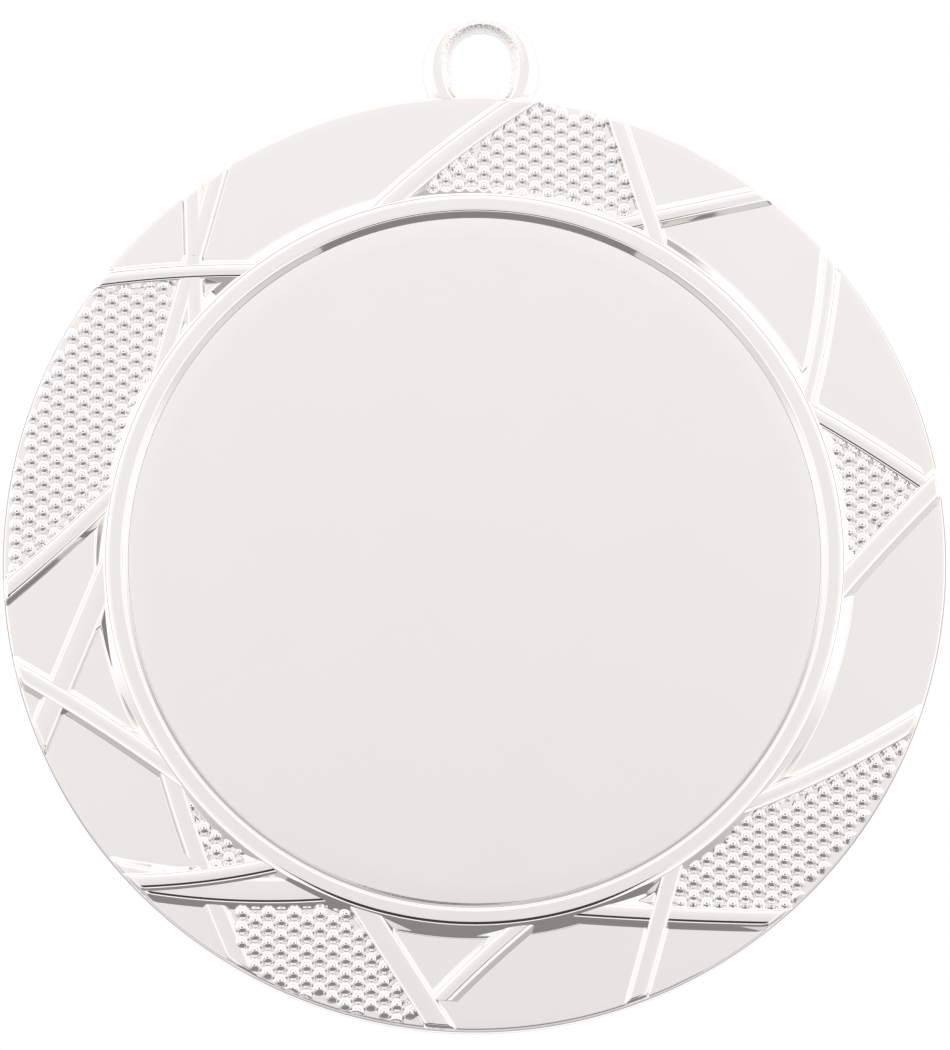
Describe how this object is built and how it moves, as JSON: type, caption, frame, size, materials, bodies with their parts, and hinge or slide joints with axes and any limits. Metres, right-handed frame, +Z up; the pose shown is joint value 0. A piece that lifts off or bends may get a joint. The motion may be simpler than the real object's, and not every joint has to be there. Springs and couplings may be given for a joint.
{
  "type": "award medal",
  "caption": "Round silver-plated award medal with a raised centre ring, crossing relief ribs, beaded panels and a cast hanging loop.",
  "frame": {"origin": "centre of the hanging loop's eye, halfway through the thickness of the whole medal", "axes": "+Z up from the disc's centre through the loop, the relief face looks along -Y, +X to the viewer's right when the face is seen"},
  "size_m": [0.07, 0.003, 0.0763],
  "materials": {
    "cast_silver": "bright silver plate, mirror polished",
    "bead_silver": "bright silver plate on small domes",
    "blank_silver": "mirror polished with fine hairline scratches",
    "adhesive": "thin clear acrylic film"
  },
  "bodies": {
    "root": {"planchet": "cast_silver", "centre_ring": "cast_silver", "suspension_loop": "cast_silver", "centre_disc": "blank_silver", "adhesive_film": "adhesive", "rib_top": "cast_silver", "rib_cross_upper_right": "cast_silver", "rib_upper_right": "cast_silver", "rib_fork_right": "cast_silver", "rib_lower_right": "cast_silver", "rib_cross_lower_right": "cast_silver", "rib_fork_bottom": "cast_silver", "rib_zigzag_lower_left": "cast_silver", "rib_cross_left": "cast_silver", "rib_left": "cast_silver", "rib_cross_upper_left": "cast_silver", "bead_panel_top": "bead_silver", "bead_panel_left": "bead_silver", "bead_panel_right": "bead_silver", "bead_panel_lower_right": "bead_silver", "bead_panel_bottom": "bead_silver", "bead_panel_lower_left": "bead_silver"}
  },
  "joints": []
}
